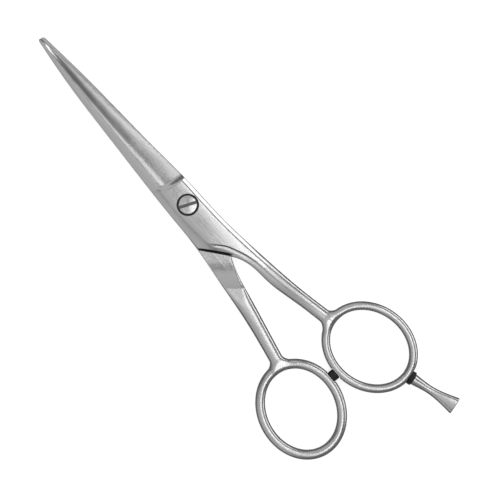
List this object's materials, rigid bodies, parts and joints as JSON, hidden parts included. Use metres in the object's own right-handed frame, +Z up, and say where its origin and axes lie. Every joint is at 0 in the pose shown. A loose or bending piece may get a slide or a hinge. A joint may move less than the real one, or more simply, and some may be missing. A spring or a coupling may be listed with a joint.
{
  "type": "hair cutting shears",
  "caption": "Slim steel hair cutting shears with slotted pivot screw, two oval finger bows, rubber bumper and a screwed-in flared finger rest, closed.",
  "frame": {"origin": "on the pivot axis, on the flat underside of the lower blade, which is the plane the shears rest on", "axes": "+X towards the blade tip, +Y towards the side of the thumb bow, +Z up towards the head of the pivot screw"},
  "size_m": [0.1668, 0.0546, 0.0047],
  "materials": {
    "blade_steel": "satin hollow-ground stainless steel, fine grinding lines along the blade",
    "handle_steel": "polished stainless steel with faint buffing lines",
    "screw_steel": "turned and polished steel",
    "black_acetal": "black, slightly glossy",
    "black_rubber": "matt black",
    "nylon": "natural nylon"
  },
  "bodies": {
    "thumb_half": {"lower_blade": "blade_steel", "lower_handle": "handle_steel", "bumper": "black_rubber"},
    "finger_half": {"upper_blade": "blade_steel", "upper_handle": "handle_steel", "pivot_bush": "black_acetal"},
    "tension_screw": {"pivot_screw": "screw_steel", "lock_pellet": "nylon"},
    "rest_washer": {"finger_rest_washer": "black_rubber"},
    "finger_rest": {"finger_rest": "handle_steel"}
  },
  "joints": [
    {"name": "main_pivot", "type": "hinge", "parent": "thumb_half", "child": "finger_half", "pos_m": [0, 0, 0], "axis": [0, 0, 1], "range_deg": [0, 135]},
    {"name": "tension_turn", "type": "hinge", "parent": "thumb_half", "child": "tension_screw", "pos_m": [0, 0, 0], "axis": [0, 0, 1], "range_deg": [-90, 90]},
    {"name": "rest_travel", "type": "slide", "parent": "finger_half", "child": "rest_washer", "axis": [-0.9576, -0.2882, 0], "range_m": [0, 0.003]},
    {"name": "rest_turn", "type": "hinge", "parent": "rest_washer", "child": "finger_rest", "pos_m": [-0.08346, -0.01731, 0.0023], "axis": [-0.9576, -0.2882, 0], "range_deg": [0, 2700]}
  ],
  "couplings": [
    {"joint": "rest_turn", "follows": "rest_travel", "rad_per_m": 15706}
  ]
}
